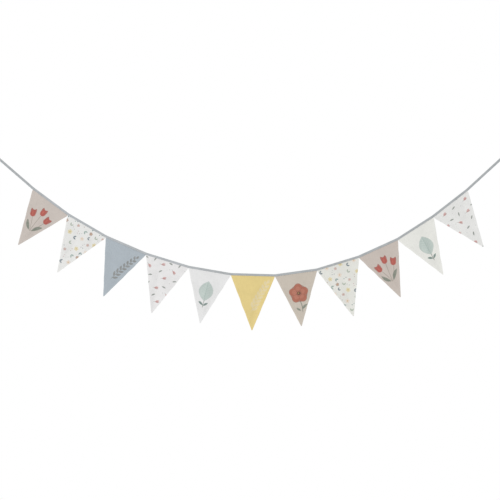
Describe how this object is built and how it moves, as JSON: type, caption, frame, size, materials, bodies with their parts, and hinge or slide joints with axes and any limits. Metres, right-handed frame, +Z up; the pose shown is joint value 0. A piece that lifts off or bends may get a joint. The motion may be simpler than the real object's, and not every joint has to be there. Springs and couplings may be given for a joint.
{
  "type": "fabric bunting",
  "caption": "Fabric bunting: printed triangular cloth pennants sewn side by side into one folded tape that hangs in a swag and is pinned or tied up by its two plain ends.",
  "frame": {"origin": "on the tape's top edge, above the middle of the middle pennant", "axes": "+X along the span to the viewer's right, +Y away from the viewer, +Z up"},
  "size_m": [1.9082, 0.0144, 0.6594],
  "materials": {
    "tape": "plain-woven cotton cut on the bias, matt",
    "beige_sprig": "beige cotton with a sprig of three red tulips, matt",
    "white_ditsy": "off-white cotton with a scatter of tiny pastel flowers, leaves and dots, matt",
    "blue_twig": "blue-grey cotton with a dark leafy twig along one side, matt",
    "white_bud": "off-white cotton with small red buds and grey-green leaves, matt",
    "white_leaf": "off-white cotton with one pale sage leaf, matt",
    "yellow": "soft yellow cotton with a faint pale twig along one side, matt",
    "beige_flower": "beige cotton with one terracotta flower, matt"
  },
  "bodies": {
    "root": {"tape": "tape", "pennant_01": "beige_sprig", "pennant_02": "white_ditsy", "pennant_03": "blue_twig", "pennant_04": "white_bud", "pennant_05": "white_leaf", "pennant_06": "yellow", "pennant_07": "beige_flower", "pennant_08": "white_ditsy", "pennant_09": "beige_sprig", "pennant_10": "white_leaf", "pennant_11": "white_bud"}
  },
  "joints": []
}
